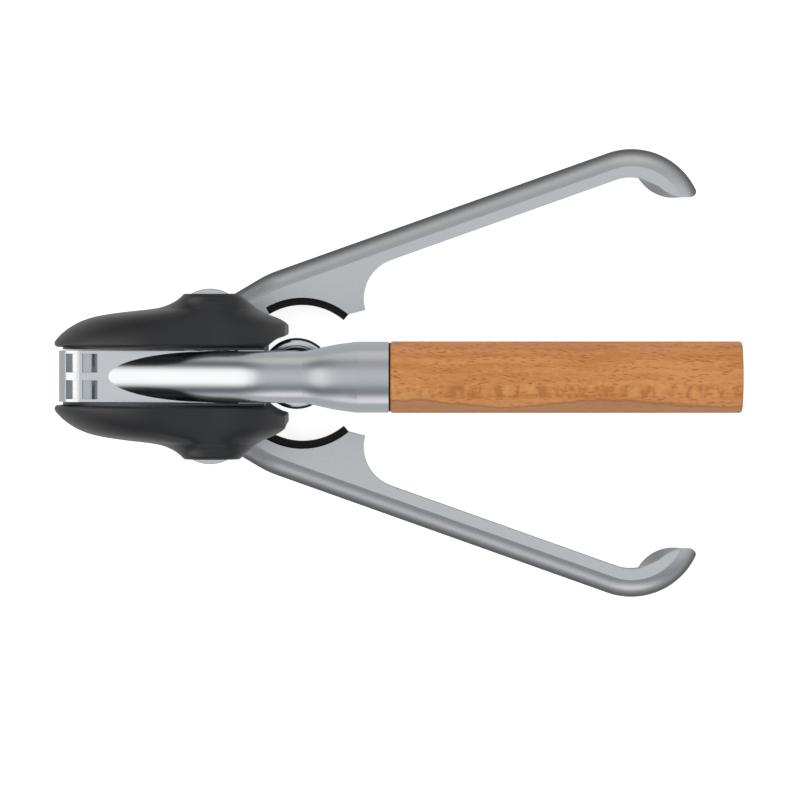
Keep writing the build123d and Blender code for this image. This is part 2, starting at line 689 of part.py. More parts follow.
with BuildPart() as arm_right:
    with BuildSketch() as arm_face:
        with BuildLine():
            FilletPolyline(root_at, bend_at, outer_tangent, radius=arm_shoulder_r)
            ThreePointArc(outer_tangent, hook_mid, hook_tip)
            ThreePointArc(hook_tip, lip_mid, lip_at)
            Line(lip_at, heel_at)
            ThreePointArc(heel_at, hollow_at, hollow_start)
            ThreePointArc(hollow_start, hollow_mid, inner_tangent)
            Line(inner_tangent, tail_top)
            ThreePointArc(tail_top, tail_mid, tail_end)
            Line(tail_end, polar(pad_centre, seat_in, pad_angles[0]))
            ThreePointArc(polar(pad_centre, seat_in, pad_angles[0]),
                          polar(pad_centre, seat_in, (pad_angles[0] + pad_angles[1]) / 2),
                          polar(pad_centre, seat_in, pad_angles[1]))
            Polyline(polar(pad_centre, seat_in, pad_angles[1]), polar(pad_centre, pad_r, pad_angles[1]),
                     polar(pin_at, arm_boss_r, arm_root_angles[1]), pin_at, root_at)
        make_face()
        with Locations(pin_at):
            Circle(arm_boss_r)
            Circle(arm_pin_r + shaft_play, mode=Mode.SUBTRACT)
    extrude(amount=arm_h)
    # Draft on the hollow side of the hook, which stands out towards the table
    for height, draft in ((arm_h, -side_play), (0, hook_draft)):
        with BuildSketch(Plane.XY.offset(height)):
            with BuildLine():
                ThreePointArc(draft_start, polar(hook_centre, hook_inner_r - draft, hook_inner_angle), heel_at)
                Polyline(heel_at, draft_inside, draft_start)
            make_face()
    loft()
    # Rounded outer band that ends in a crisp crease along the top
    with BuildLine() as band_path:
        FilletPolyline(crease_start, bend_at, outer_tangent, radius=arm_shoulder_r)
        ThreePointArc(outer_tangent, past_mid, polar(hook_centre, hook_outer_r, hook_past_angle))
    along = band_path.line % 0
    with BuildSketch(Plane(origin=band_path.line @ 0, x_dir=(-along.Y, along.X, 0), z_dir=along)):
        with BuildLine():
            ThreePointArc((-crease_in, arm_h), band_mid, (0, arm_h - crease_fall))
            Polyline((0, arm_h - crease_fall), (arm_soft, arm_h - crease_fall - arm_soft),
                     (arm_soft, arm_h + arm_soft), (-crease_in, arm_h + arm_soft), (-crease_in, arm_h))
        make_face()
    sweep(path=band_path.line, mode=Mode.SUBTRACT)
    with Locations((*pin_at, 0)):
        Cylinder(arm_pin_head_r + side_play, arm_pin_rise + arm_pin_head_h + side_play,
                 align=(Align.CENTER, Align.CENTER, Align.MIN), mode=Mode.SUBTRACT)
arm_right.part.label = "arm_right"
export_step(arm_right.part, "parts/arm_right.step")

with BuildPart() as arm_left:
    mirror(arm_right.part, about=Plane.XZ)
arm_left.part.label = "arm_left"
export_step(arm_left.part, "parts/arm_left.step")

# Rubber pad seated in each jaw
pad_mid_angle = (pad_angles[0] + pad_angles[1]) / 2
with BuildPart() as jaw_pad_right:
    with BuildSketch(Plane.XY.offset(pad_rise)):
        with BuildLine():
            ThreePointArc(*[polar(pad_centre, pad_r, a) for a in (pad_angles[0], pad_mid_angle, pad_angles[1])])
            Line(polar(pad_centre, pad_r, pad_angles[1]), polar(pad_centre, seat_in, pad_angles[1]))
            ThreePointArc(*[polar(pad_centre, seat_in, a) for a in (pad_angles[1], pad_mid_angle, pad_angles[0])])
            Line(polar(pad_centre, seat_in, pad_angles[0]), polar(pad_centre, pad_r, pad_angles[0]))
        make_face()
    extrude(amount=arm_h - 2 * pad_rise)
jaw_pad_right.part.label = "jaw_pad_right"
export_step(jaw_pad_right.part, "parts/jaw_pad_right.step")

with BuildPart() as jaw_pad_left:
    mirror(jaw_pad_right.part, about=Plane.XZ)
jaw_pad_left.part.label = "jaw_pad_left"
export_step(jaw_pad_left.part, "parts/jaw_pad_left.step")

# Headed pins on which the arms swing, set into the shells
with BuildPart() as arm_pins:
    for side in (1, -1):
        with Locations((axle_x, side * arm_pin_y, arm_pin_rise)):
            Cylinder(arm_pin_r, arm_pin_top - arm_pin_rise, align=(Align.CENTER, Align.CENTER, Align.MIN))
            Cylinder(arm_pin_head_r, arm_pin_head_h, align=(Align.CENTER, Align.CENTER, Align.MIN))
arm_pins.part.label = "arm_pins"
export_step(arm_pins.part, "parts/arm_pins.step")
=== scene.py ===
# %% [markdown]
# # A lever corkscrew
# The part is a corkscrew with a wooden handle on a cranked lever, two hooked arms that grip a
# bottle's neck, and a worm between two black shells. Its working pieces come from the imported frame,
# each on the body that it moves with. This lesson gives every surface its finish, adds two finer
# pieces to the frame's, and lights it all as in a studio. It first loads the frame, with a helper
# that measures the box round any one of its pieces. Nothing that is added later may make the
# corkscrew bigger.

# %% Load the frame
import json
import math

import bpy
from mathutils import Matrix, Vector


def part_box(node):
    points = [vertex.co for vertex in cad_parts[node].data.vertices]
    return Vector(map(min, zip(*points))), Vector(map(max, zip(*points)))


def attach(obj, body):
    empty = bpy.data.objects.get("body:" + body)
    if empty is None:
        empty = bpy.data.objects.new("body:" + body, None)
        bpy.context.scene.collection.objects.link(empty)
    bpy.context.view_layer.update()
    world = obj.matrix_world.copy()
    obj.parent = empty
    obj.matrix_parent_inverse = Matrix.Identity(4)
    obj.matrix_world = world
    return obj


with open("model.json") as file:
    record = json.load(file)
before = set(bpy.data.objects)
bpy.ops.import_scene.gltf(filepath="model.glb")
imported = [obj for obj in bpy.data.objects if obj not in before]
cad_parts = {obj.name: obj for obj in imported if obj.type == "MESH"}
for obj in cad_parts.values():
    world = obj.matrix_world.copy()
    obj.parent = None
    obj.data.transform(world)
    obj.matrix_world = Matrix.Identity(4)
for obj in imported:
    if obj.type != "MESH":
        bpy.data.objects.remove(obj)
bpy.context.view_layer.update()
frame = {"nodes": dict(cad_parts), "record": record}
nodes = frame["nodes"]
bpy.ops.object.select_all(action="DESELECT")
MM = 0.001

# %% [markdown]
# ## Camera
# The picture is taken from high above through a long lens, so things look nearly flat. The worm's
# axis lies at a known place in the picture, and one picture point is a known share of a
# millimetre, which fixes where the lens looks. Higher things sit a little lower in the picture
# than lower ones, so the camera stands a little towards the right arm. The lens is worked out from
# these values and not tried by eye, so the picture keeps its scale if the camera is moved.

# %% Camera
PICTURE = 800
AXIS_PX = (297.0, 373.1)
PX_PER_MM = 3.1
SCALE_LEVEL = 8 * MM
CAMERA_HEIGHT = 2.2
CAMERA_LEAN = 0.018
SENSOR = 36.0
FARTHEST_SEEN = 10.0

look_at = Vector(((PICTURE / 2 - AXIS_PX[0]) / PX_PER_MM * MM,
                  (AXIS_PX[1] - PICTURE / 2) / PX_PER_MM * MM,
                  SCALE_LEVEL))
eye = look_at + Vector((0.0, CAMERA_LEAN * CAMERA_HEIGHT, CAMERA_HEIGHT))
bpy.ops.object.camera_add(location=eye, rotation=(-math.atan(CAMERA_LEAN), 0, 0))
camera = bpy.context.object
camera.name = "overhead_camera"
camera.data.sensor_width = SENSOR
camera.data.lens = PX_PER_MM / MM * (eye - look_at).length * SENSOR / PICTURE
camera.data.clip_end = FARTHEST_SEEN
bpy.context.scene.camera = camera
bpy.ops.object.select_all(action="DESELECT")
print("lens", round(camera.data.lens, 1), "mm at", round((eye - look_at).length, 2), "m")

# %% [markdown]
# ## Helpers for shader nodes
# A finish is a tree of small nodes, each doing one sum or making one pattern. Wiring them one by
# one would fill the lesson with links, so a few helpers do it. One adds a node, and one feeds a
# socket with either a plain value or another node. The others are sums, a smooth fade and a blend
# of two colours. The fade is used everywhere below: it turns a measure, such as a distance or a
# slope, into a soft mask.

# %% Helpers for shader nodes


def add_node(tree, kind, **values):
    """A node of a kind in a tree, with its plain properties set."""
    node = tree.nodes.new(kind)
    for key, value in values.items():
        setattr(node, key, value)
    return node


def feed(tree, socket, value):
    """Links a socket to another node's output, or sets it to a plain value."""
    if isinstance(value, bpy.types.NodeSocket):
        tree.links.new(value, socket)
    else:
        socket.default_value = value


def calculate(tree, operation, first, second=0.0):
    """The output of a Math node for two numbers or sockets."""
    node = add_node(tree, "ShaderNodeMath", operation=operation)
    feed(tree, node.inputs[0], first)
    feed(tree, node.inputs[1], second)
    return node.outputs[0]


def times(tree, first, second):
    """One value times another."""
    return calculate(tree, "MULTIPLY", first, second)


def plus(tree, first, second):
    """One value plus another."""
    return calculate(tree, "ADD", first, second)


def minus(tree, first, second):
    """One value less another."""
    return calculate(tree, "SUBTRACT", first, second)


def fade(tree, value, start, end, low=0.0, high=1.0):
    """A smooth change from low to high while a value goes from start to end."""
    node = add_node(tree, "ShaderNodeMapRange", interpolation_type="SMOOTHSTEP")
    feed(tree, node.inputs["Value"], value)
    for label, number in (("From Min", start), ("From Max", end), ("To Min", low), ("To Max", high)):
        feed(tree, node.inputs[label], number)
    return node.outputs["Result"]


def blend_colours(tree, share, first, second):
    """The first colour with a share of the second laid over it."""
    node = add_node(tree, "ShaderNodeMix", data_type="RGBA")
    for label, value in (("Factor", share), ("A", first), ("B", second)):
        socket = [s for s in node.inputs if s.name == label and s.enabled][0]
        feed(tree, socket, value)
    return [s for s in node.outputs if s.enabled][0]


def light_paths(tree):
    """Two masks: rays that the camera sees directly or through glass, and rays that gloss mirrors."""
    path = add_node(tree, "ShaderNodeLightPath")
    seen = calculate(tree, "MAXIMUM", path.outputs["Is Camera Ray"], path.outputs["Is Transmission Ray"])
    return seen, path.outputs["Is Glossy Ray"]


print("helpers: add_node, feed, calculate, times, plus, minus, fade, blend_colours, light_paths")

# %% [markdown]
# ## Floor
# The corkscrew lies on plain white paper. White paint alone would turn grey under soft light, so
# the floor glows white to the camera, and its own paper white is added to that. A soft shadow can
# still darken the paper's share where the corkscrew stands close. To glossy surfaces the floor
# glows much less, or edges that face down would look as bright as the top.

# %% Floor
FLOOR_SIZE = 3.0
PAPER_WHITE = (0.8, 0.8, 0.8, 1)
FLOOR_GLOW_SEEN = 0.80
FLOOR_GLOW_MIRRORED = 0.20

bpy.ops.mesh.primitive_plane_add(size=FLOOR_SIZE, location=(look_at.x, look_at.y, 0))
floor = bpy.context.object
floor.name = "studio_floor"
floor_finish = bpy.data.materials.new("white_floor")
floor_finish.use_nodes = True
tree = floor_finish.node_tree
tree.nodes.clear()
seen, mirrored = light_paths(tree)
glow_level = calculate(tree, "MAXIMUM", times(tree, seen, FLOOR_GLOW_SEEN),
                       times(tree, mirrored, FLOOR_GLOW_MIRRORED))
glow = add_node(tree, "ShaderNodeEmission")
feed(tree, glow.inputs["Strength"], glow_level)
paper = add_node(tree, "ShaderNodeBsdfDiffuse")
paper.inputs["Color"].default_value = PAPER_WHITE
glow_and_paper = add_node(tree, "ShaderNodeAddShader")
tree.links.new(glow.outputs[0], glow_and_paper.inputs[0])
tree.links.new(paper.outputs[0], glow_and_paper.inputs[1])
floor_output = add_node(tree, "ShaderNodeOutputMaterial")
tree.links.new(glow_and_paper.outputs[0], floor_output.inputs["Surface"])
floor.data.materials.append(floor_finish)
bpy.ops.object.select_all(action="DESELECT")
print("floor", FLOOR_SIZE, "m")

# %% [markdown]
# ## The dome that the metal mirrors
# Metal has no colour of its own to speak of. What the eye reads as satin steel is the room that it
# mirrors, so the room is drawn with care. It is a dome whose brightness changes from the left
# arm's side to the right arm's side: a bright rim, a dim gap, a broad pale ceiling, a dimmer strip
# and a warm rim. A picture of a studio could be wrapped round the scene instead, but a ramp of a
# few levels is easier to tune, and it needs no file. Each level is given with its side, from -1 at
# the left arm's side to 1 at the right arm's. A ramp holds no colour above 1, so the levels are
# divided by a peak that lies above them all, and the light's strength brings them back.

# %% The dome that the metal mirrors
DOME_PEAK = 1.6
DOME = ((-1.00, (1.55, 1.45, 1.43)), (-0.96, (1.50, 1.42, 1.42)), (-0.92, (1.00, 0.98, 1.00)),
        (-0.80, (0.38, 0.39, 0.41)), (-0.66, (0.42, 0.43, 0.44)), (-0.43, (0.75, 0.76, 0.76)),
        (-0.20, (0.92, 0.92, 0.92)), (0.00, (0.97, 0.98, 0.98)), (0.22, (0.95, 0.95, 0.95)),
        (0.43, (0.86, 0.86, 0.86)), (0.62, (0.68, 0.68, 0.68)), (0.78, (0.64, 0.64, 0.64)),
        (0.90, (0.97, 0.96, 0.90)), (1.00, (1.09, 1.04, 0.93)))

world = bpy.data.worlds.new("studio_world")
world.use_nodes = True
bpy.context.scene.world = world
tree = world.node_tree
tree.nodes.clear()
towards = add_node(tree, "ShaderNodeSeparateXYZ")
tree.links.new(add_node(tree, "ShaderNodeTexCoord").outputs["Generated"], towards.inputs[0])
sideways = towards.outputs["Y"]
dome = add_node(tree, "ShaderNodeValToRGB")
while len(dome.color_ramp.elements) < len(DOME):
    dome.color_ramp.elements.new(0.5)
for stop, (side, colour) in zip(dome.color_ramp.elements, DOME):
    stop.position = (side + 1) / 2
for stop, (side, colour) in zip(dome.color_ramp.elements, DOME):
    stop.color = (*[level / DOME_PEAK for level in colour], 1)
feed(tree, dome.inputs["Fac"], plus(tree, times(tree, sideways, 0.5), 0.5))
print("dome with", len(DOME), "levels")

# %% [markdown]
# ## The window and its dark flanks
# The lever's bar slopes down to the left of the picture, so it mirrors the left side of the room.
# In the photograph its back is nearly white, with a soft dark stripe along each side of that. The
# white is a window, and the stripes are dark panels beside it. Both are masks on the direction of
# the ray: how far to the left it goes, and how far towards either arm. Both are laid over the
# ramp, so the light's strength raises them as well.

# %% The window and its dark flanks
FLANK_LEFTWARD = (0.20, 0.62)
FLANK_ASIDE = (0.35, 0.70)
FLANK_END = (0.95, 0.80)
FLANK_TONE = (0.12, 0.12, 0.13, 1)
WINDOW_LEFTWARD = (0.44, 0.64)
WINDOW_ASIDE = (0.76, 0.30)
WINDOW_TONE = (1.37, 1.30, 1.23, 1)

leftward = times(tree, towards.outputs["X"], -1.0)
aside = calculate(tree, "ABSOLUTE", sideways)
flank = times(tree, fade(tree, leftward, *FLANK_LEFTWARD), fade(tree, aside, *FLANK_ASIDE))
flank = times(tree, flank, fade(tree, aside, *FLANK_END))
window = times(tree, fade(tree, leftward, *WINDOW_LEFTWARD), fade(tree, aside, *WINDOW_ASIDE))
room = blend_colours(tree, flank, dome.outputs["Color"], FLANK_TONE)
room = blend_colours(tree, window, room, WINDOW_TONE)
print("window level", round(WINDOW_TONE[0] * DOME_PEAK, 2))

# %% [markdown]
# ## Which light each ray meets
# The world has three faces. Rays from a glossy surface see the drawn room, rays that only light a
# matt surface get one even grey, and the camera sees plain white. One light for all three would be
# simpler, but then the dark panels would dull the wood, and the background would not be white.

# %% Which light each ray meets
EVEN_LEVEL = 0.72
BACKDROP_WHITE = (1, 1, 1, 1)


def mix_lights(tree, share, first, second):
    """A light that goes from the first to the second while its share goes from 0 to 1."""
    mix = add_node(tree, "ShaderNodeMixShader")
    feed(tree, mix.inputs["Fac"], share)
    tree.links.new(first, mix.inputs[1])
    tree.links.new(second, mix.inputs[2])
    return mix.outputs[0]


seen, mirrored = light_paths(tree)
room_light = add_node(tree, "ShaderNodeBackground")
room_light.inputs["Strength"].default_value = DOME_PEAK
tree.links.new(room, room_light.inputs["Color"])
even_light = add_node(tree, "ShaderNodeBackground")
even_light.inputs["Strength"].default_value = EVEN_LEVEL
backdrop = add_node(tree, "ShaderNodeBackground")
backdrop.inputs["Color"].default_value = BACKDROP_WHITE
lighting = mix_lights(tree, mirrored, even_light.outputs[0], room_light.outputs[0])
world_output = add_node(tree, "ShaderNodeOutputWorld")
tree.links.new(mix_lights(tree, seen, lighting, backdrop.outputs[0]), world_output.inputs["Surface"])
print("even light", EVEN_LEVEL, "room light", DOME_PEAK)

# %% [markdown]
# ## Lamp
# One long, very soft lamp hangs over the object and models the round of the wooden handle. Its
# strength is worked out from its size, so it looks as bright as its level says however large it
# is. It is kept out of reflections, because the dome's ceiling is already there for the metal to
# mirror.

# %% Lamp
LAMP_SIZE = (1.6, 0.6)
LAMP_HEIGHT = 1.3
LAMP_LEVEL = 1.0
LAMP_SHIFT = 0.02
LAMP_AIM_HEIGHT = 0.05

lamp_place = Vector((look_at.x, look_at.y + LAMP_SHIFT, LAMP_HEIGHT))
lamp_aim = Vector((look_at.x, look_at.y, LAMP_AIM_HEIGHT))
bpy.ops.object.light_add(type="AREA", location=lamp_place)
lamp = bpy.context.object
lamp.name = "overhead_softbox"
lamp.rotation_euler = (lamp_aim - lamp_place).to_track_quat("-Z", "Y").to_euler()
lamp.data.shape = "RECTANGLE"
lamp.data.size, lamp.data.size_y = LAMP_SIZE
lamp.data.energy = math.pi * LAMP_SIZE[0] * LAMP_SIZE[1] * LAMP_LEVEL
lamp.visible_glossy = False
bpy.ops.object.select_all(action="DESELECT")
bpy.context.scene.view_settings.view_transform = "Standard"
print("lamp of", round(lamp.data.energy, 2), "W")

# %% [markdown]
# ## Fine grain
# Cast metal, moulded plastic and rubber all have a fine even grain, each at its own size. It is
# one shared group of two noises: a speckle that moves the gloss and the surface, and a larger
# cloud that moves the colour. A group is built once and placed in each finish with its own values,
# so a change to the grain reaches all of them.

# %% Fine grain
SPECKLE_DETAIL = 3.0
CLOUD_DETAIL = 2.0


def new_group(name, inputs, outputs):
    """A shader group with named sockets: returns its tree and its two end nodes."""
    group = bpy.data.node_groups.new(name, "ShaderNodeTree")
    for label, kind, value in inputs:
        socket = group.interface.new_socket(label, in_out="INPUT", socket_type=kind)
        if value is not None:
            socket.default_value = value
    for label, kind in outputs:
        group.interface.new_socket(label, in_out="OUTPUT", socket_type=kind)
    return group, add_node(group, "NodeGroupInput"), add_node(group, "NodeGroupOutput")


fine_grain, takes, gives = new_group(
    "fine_grain",
    [("Vector", "NodeSocketVector", None), ("Scale", "NodeSocketFloat", 1500.0),
     ("Patch", "NodeSocketFloat", 40.0)],
    [("Grain", "NodeSocketFloat"), ("Cloud", "NodeSocketFloat")])
for size, detail, result in (("Scale", SPECKLE_DETAIL, "Grain"), ("Patch", CLOUD_DETAIL, "Cloud")):
    noise = add_node(fine_grain, "ShaderNodeTexNoise")
    noise.inputs["Detail"].default_value = detail
    fine_grain.links.new(takes.outputs["Vector"], noise.inputs["Vector"])
    fine_grain.links.new(takes.outputs[size], noise.inputs["Scale"])
    fine_grain.links.new(noise.outputs["Fac"], gives.inputs[result])
print("group", fine_grain.name, "with", len(fine_grain.nodes), "nodes")

# %% [markdown]
# ## A finish with the fine grain
# Most surfaces of the corkscrew differ only in a few values: two close tones, a range of
# roughness, metal or not, and the size and depth of the grain. So one function makes them all. It
# reads the piece's own coordinates, and the grain stays on the piece when the piece moves.

# %% A finish with the fine grain
GRAIN_HEIGHT = 0.02 * MM
USUAL_SHINE = 0.5


def new_material(name):
    """A fresh material: returns it with its tree and its Principled shader."""
    material = bpy.data.materials.new(name)
    material.use_nodes = True
    return material, material.node_tree, material.node_tree.nodes["Principled BSDF"]


def grained_finish(name, dark, light, rough, metallic, scale, bump, shine=USUAL_SHINE):
    """A finish whose colour, gloss and surface vary slightly with the fine grain."""
    material, tree, shader = new_material(name)
    grain = add_node(tree, "ShaderNodeGroup", node_tree=fine_grain)
    grain.inputs["Scale"].default_value = scale
    tree.links.new(add_node(tree, "ShaderNodeTexCoord").outputs["Object"], grain.inputs["Vector"])
    tone = blend_colours(tree, grain.outputs["Cloud"], (*dark, 1), (*light, 1))
    gloss = add_node(tree, "ShaderNodeMapRange")
    gloss.inputs["To Min"].default_value, gloss.inputs["To Max"].default_value = rough
    tree.links.new(grain.outputs["Grain"], gloss.inputs["Value"])
    lift = add_node(tree, "ShaderNodeBump")
    lift.inputs["Strength"].default_value = bump
    lift.inputs["Distance"].default_value = GRAIN_HEIGHT
    tree.links.new(grain.outputs["Grain"], lift.inputs["Height"])
    feed(tree, shader.inputs["Base Color"], tone)
    feed(tree, shader.inputs["Roughness"], gloss.outputs["Result"])
    feed(tree, shader.inputs["Normal"], lift.outputs["Normal"])
    shader.inputs["Metallic"].default_value = metallic
    shader.inputs["Specular IOR Level"].default_value = shine
    return material


print("grain", round(GRAIN_HEIGHT / MM, 3), "mm high at most")

# %% [markdown]
# ## Metals
# The lever and the block are satin die-cast metal: fully metallic, with a grain that only just
# scatters the light. The arms are the same metal, a little paler. The axle, pins and rods are
# plain steel, the side plates steel painted nearly black with the shade of the slot they sit in,
# the bushes sintered bronze, and the caps and the nut ring are polished. All take the same grain
# and differ in colour, gloss and depth.

# %% Metals
cast_metal = grained_finish("satin_cast_metal", dark=(0.445, 0.472, 0.502), light=(0.465, 0.492, 0.522),
                            rough=(0.22, 0.27), metallic=1.0, scale=1800, bump=0.25)
arm_metal = grained_finish("satin_arm_metal", dark=(0.490, 0.512, 0.537), light=(0.510, 0.532, 0.557),
                           rough=(0.24, 0.29), metallic=1.0, scale=1800, bump=0.10)
steel = grained_finish("plain_steel", dark=(0.42, 0.43, 0.45), light=(0.50, 0.51, 0.53),
                       rough=(0.20, 0.30), metallic=1.0, scale=1200, bump=0.3)
# The side plates are steel painted nearly black with the shade of the slot they sit in.
slot_shade_steel = grained_finish("steel_painted_with_slot_shade", dark=(0.045, 0.047, 0.052), light=(0.07, 0.072, 0.08),
                            rough=(0.30, 0.40), metallic=1.0, scale=1200, bump=0.3)
bronze = grained_finish("sintered_bronze", dark=(0.45, 0.30, 0.13), light=(0.58, 0.40, 0.20),
                        rough=(0.35, 0.50), metallic=1.0, scale=1500, bump=0.6)
cap_metal, ring_metal = [
    grained_finish(name, dark=(0.52, 0.55, 0.59), light=(0.58, 0.61, 0.65),
                   rough=(0.05, 0.09), metallic=1.0, scale=900, bump=0.05)
    for name in ("polished_chrome", "turned_chrome")]
metals = (cast_metal, arm_metal, steel, slot_shade_steel, bronze, cap_metal, ring_metal)
print("metals", [metal.name for metal in metals])

# %% [markdown]
# ## Plastic and rubber
# The two shells and the nut's insert are moulded black plastic with a satin surface, and the jaws
# are lined with matt rubber. Black is never quite black: the plastic gets a trace of blue. The
# rubber is rougher and has about half the shine, which is what tells the two apart.

# %% Plastic and rubber
black_plastic = grained_finish("satin_black_plastic",
                               dark=(0.007, 0.008, 0.010), light=(0.011, 0.012, 0.015),
                               rough=(0.34, 0.42), metallic=0.0, scale=2500, bump=0.5, shine=0.42)
black_rubber = grained_finish("matt_black_rubber",
                              dark=(0.006, 0.006, 0.006), light=(0.010, 0.010, 0.010),
                              rough=(0.62, 0.75), metallic=0.0, scale=2000, bump=0.7, shine=0.22)
print("blacks", black_plastic.name, black_rubber.name)

# %% [markdown]
# ## Painted dark flanks on the arms and caps
# Along the outer edge of each arm the metal turns steep and mirrors the dark room at table height,
# so in the photograph the arms have a dark outline. A darker room would dim the bar as well, so
# that dark reflection is painted into the finish as a mask on the slope of the surface. It is
# strongest where the edge is round, and on the arms it is weaker again on an upright wall. Arms
# and caps both use it, so it is a group.
# Where the mask is full the surface is no longer metal, because metal turns bright again when it
# is seen at a flat angle.

# %% Painted dark flanks on the arms and caps
PAINTED_DARK_TONE = (0.012, 0.012, 0.014, 1)
DIMMED_SHINE = 0.15
WALL_ENDS = 0.40

steep_flank, takes, gives = new_group(
    "steep_flank",
    [(label, "NodeSocketFloat", 0.0) for label in ("Starts", "Full", "Share", "Wall Share")],
    [("Mask", "NodeSocketFloat")])
facing = add_node(steep_flank, "ShaderNodeSeparateXYZ")
geometry = add_node(steep_flank, "ShaderNodeNewGeometry")
steep_flank.links.new(geometry.outputs["Normal"], facing.inputs[0])
flatness = calculate(steep_flank, "ABSOLUTE", facing.outputs["Z"])
steep = fade(steep_flank, flatness, takes.outputs["Starts"], takes.outputs["Full"],
             0.0, takes.outputs["Share"])
off_wall = fade(steep_flank, flatness, 0.0, WALL_ENDS, takes.outputs["Wall Share"], 1.0)
feed(steep_flank, gives.inputs["Mask"], times(steep_flank, steep, off_wall))


def dim(material, mask):
    """Paints darkness into a finish where a mask is strong, taking colour and metal away there."""
    tree = material.node_tree
    shader = tree.nodes["Principled BSDF"]
    bare = shader.inputs["Base Color"].links[0].from_socket
    feed(tree, shader.inputs["Base Color"], blend_colours(tree, mask, bare, PAINTED_DARK_TONE))
    feed(tree, shader.inputs["Metallic"], minus(tree, 1.0, mask))
    shader.inputs["Specular IOR Level"].default_value = DIMMED_SHINE


def paint_dark_flanks(material, starts, full, share, wall_share):
    """Paints a dark reflection into a finish where its surface turns steep."""
    flanks = add_node(material.node_tree, "ShaderNodeGroup", node_tree=steep_flank)
    for label, value in (("Starts", starts), ("Full", full), ("Share", share), ("Wall Share", wall_share)):
        flanks.inputs[label].default_value = value
    dim(material, flanks.outputs["Mask"])


# Painted dark reflection on the steep sides of the caps and of the arms.
paint_dark_flanks(cap_metal, starts=0.26, full=0.14, share=0.95, wall_share=1.0)
paint_dark_flanks(arm_metal, starts=0.88, full=0.45, share=0.80, wall_share=0.45)
print("dimmed", cap_metal.name, "and", arm_metal.name)

# %% [markdown]
# ## Painted shade of the steps on the nut ring
# The ring that holds the nut is turned on a lathe, with an outer rim, a fine groove and an inner
# step. The dark outer rim, groove and dark inner step are painted into the finish as the shade and
# dark reflections that those steps give. Seen from above they are circles about the bottle's axis,
# which is also the origin, so a distance from that axis is all that the pattern needs. The steps
# could be cut into the mesh instead, but a painted mask on the finish is easier to place, and from
# above it shows the same rings.

# %% Painted shade of the steps on the nut ring
RING_SHADE_BANDS_MM = ((7.0, 8.4), (8.85, 9.1), (10.7, 12.0))
RING_SOFT_MM = 0.08


def painted_ring_shade(tree, bands):
    """A mask of painted dark rings about the bottle's axis, each from one radius to another in millimetres.
    """
    spot = add_node(tree, "ShaderNodeSeparateXYZ")
    tree.links.new(add_node(tree, "ShaderNodeTexCoord").outputs["Object"], spot.inputs[0])
    squares = [times(tree, spot.outputs[axis], spot.outputs[axis]) for axis in "XY"]
    radius_mm = times(tree, calculate(tree, "POWER", plus(tree, *squares), 0.5), 1 / MM)
    mask = 0.0
    for inner, outer in bands:
        past_inner = fade(tree, radius_mm, inner - RING_SOFT_MM, inner + RING_SOFT_MM)
        before_outer = fade(tree, radius_mm, outer + RING_SOFT_MM, outer - RING_SOFT_MM)
        mask = calculate(tree, "MAXIMUM", mask, times(tree, past_inner, before_outer))
    return mask


# The dark bands on the ring are painted shade and dark reflection of its steps.
dim(ring_metal, painted_ring_shade(ring_metal.node_tree, RING_SHADE_BANDS_MM))
print("ring with", len(RING_SHADE_BANDS_MM), "dark bands")

# %% [markdown]
# ## Beech: the round laid flat
# The handle is turned from oiled beech. Its pattern is made of noises that are stretched along the
# wood. Stretched through the solid they would smear on the sides of a round, so they live on a
# flat map of it: how far along the handle, and how far round it. Both are in millimetres, and so
# every size below can be checked with a ruler.

# %% Beech: the round laid flat
handle_low, handle_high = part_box("wood_handle")
HANDLE_AXIS_Z = (handle_low[2] + handle_high[2]) / 2
HANDLE_R = (handle_high[1] - handle_low[1]) / 2

beech, tree, shader = new_material("oiled_beech")
place = add_node(tree, "ShaderNodeSeparateXYZ")
tree.links.new(add_node(tree, "ShaderNodeTexCoord").outputs["Object"], place.inputs[0])
across = place.outputs["Y"]
above = minus(tree, place.outputs["Z"], HANDLE_AXIS_Z)
squares = [times(tree, above, above), times(tree, across, across)]
from_axis = calculate(tree, "POWER", plus(tree, *squares), 0.5)
along_mm = times(tree, place.outputs["X"], 1 / MM)
round_mm = times(tree, calculate(tree, "ARCTAN2", across, above), HANDLE_R / MM)
from_axis_mm = times(tree, from_axis, 1 / MM)
print("handle of", round(HANDLE_R / MM, 2), "mm radius")

# %% [markdown]
# ## Beech: noise on the flat map
# Every mark on the wood starts as a noise. Its layer picks a different pattern each time, and the
# distance from the handle's axis is mixed in, so that the marks also change through the wood. A
# second helper lays a mark's colour over the tone so far.

# %% Beech: noise on the flat map
THROUGH_PER_MM = 0.3


def noise_at(coordinates, scale, detail):
    """Noise at a place that two or three coordinates give."""
    spot = add_node(tree, "ShaderNodeCombineXYZ")
    for socket, value in zip(spot.inputs, coordinates):
        feed(tree, socket, value)
    noise = add_node(tree, "ShaderNodeTexNoise")
    noise.inputs["Scale"].default_value = scale
    noise.inputs["Detail"].default_value = detail
    tree.links.new(spot.outputs[0], noise.inputs["Vector"])
    return noise.outputs["Fac"]


def wood_noise(per_mm, detail, layer, around=round_mm):
    """Noise on the flat map, with so many features per millimetre along and round the handle."""
    coordinates = (times(tree, along_mm, per_mm[0]), times(tree, around, per_mm[1]),
                   plus(tree, times(tree, from_axis_mm, THROUGH_PER_MM), layer))
    return noise_at(coordinates, 1.0, detail)


def lay_over(tone, mask, strength, colour):
    """A colour laid over the wood's tone where a mask is strong, up to a strength."""
    return blend_colours(tree, times(tree, mask, strength), tone, colour)


print("marks change by", THROUGH_PER_MM, "per mm through the wood")

# %% [markdown]
# ## Beech: long grain
# The ground is a warm orange tan that drifts slowly between a deeper and a paler tone, in long
# streaks that sway a little to each side. The sway is one more noise, added to how far round a
# point lies, and the dashes below follow it too, as they do in a real board.

